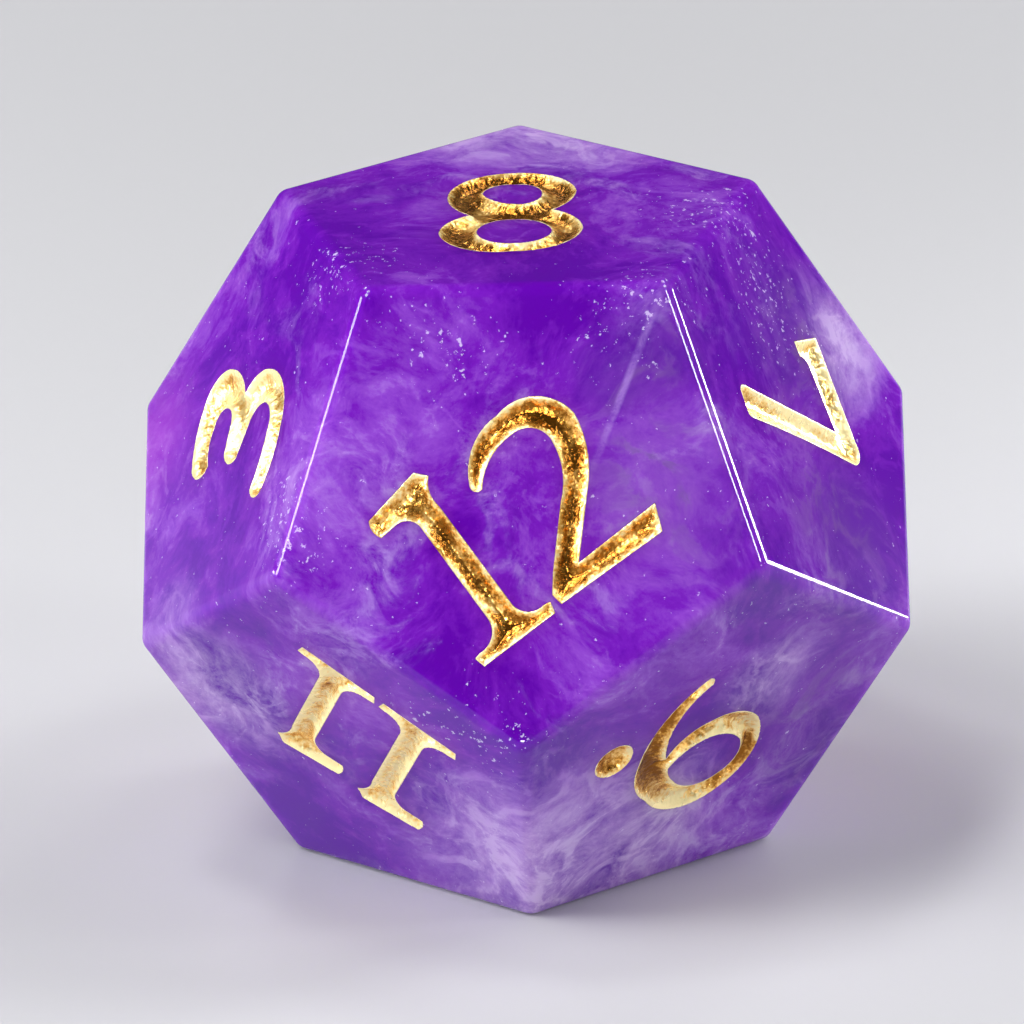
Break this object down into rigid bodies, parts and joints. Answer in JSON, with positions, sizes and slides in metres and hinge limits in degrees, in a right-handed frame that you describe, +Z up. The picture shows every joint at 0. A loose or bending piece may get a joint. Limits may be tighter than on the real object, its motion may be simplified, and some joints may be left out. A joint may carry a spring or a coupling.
{
  "type": "polyhedral die",
  "caption": "Dodecahedral gaming die in polished purple gemstone, its numerals engraved and lined with gold paint; it is rolled and rests on any flat face.",
  "frame": {"origin": "centre of the face marked 5, which the die rests on", "axes": "+Z up through the face marked 8; the face marked 12 looks towards -Y and up; +X is to the right seen from that side"},
  "size_m": [0.0222, 0.0232, 0.019],
  "materials": {
    "amethyst": "polished, banded purple quartz with white veils",
    "gold_paint": "metallic gold paint, slightly lumpy"
  },
  "bodies": {
    "root": {"stone_body": "amethyst", "gold_1": "gold_paint", "gold_2": "gold_paint", "gold_3": "gold_paint", "gold_4": "gold_paint", "gold_5": "gold_paint", "gold_6": "gold_paint", "gold_6_dot": "gold_paint", "gold_7": "gold_paint", "gold_8": "gold_paint", "gold_9": "gold_paint", "gold_9_dot": "gold_paint", "gold_10_tens": "gold_paint", "gold_10_units": "gold_paint", "gold_11_tens": "gold_paint", "gold_11_units": "gold_paint", "gold_12_tens": "gold_paint", "gold_12_units": "gold_paint"}
  },
  "joints": []
}
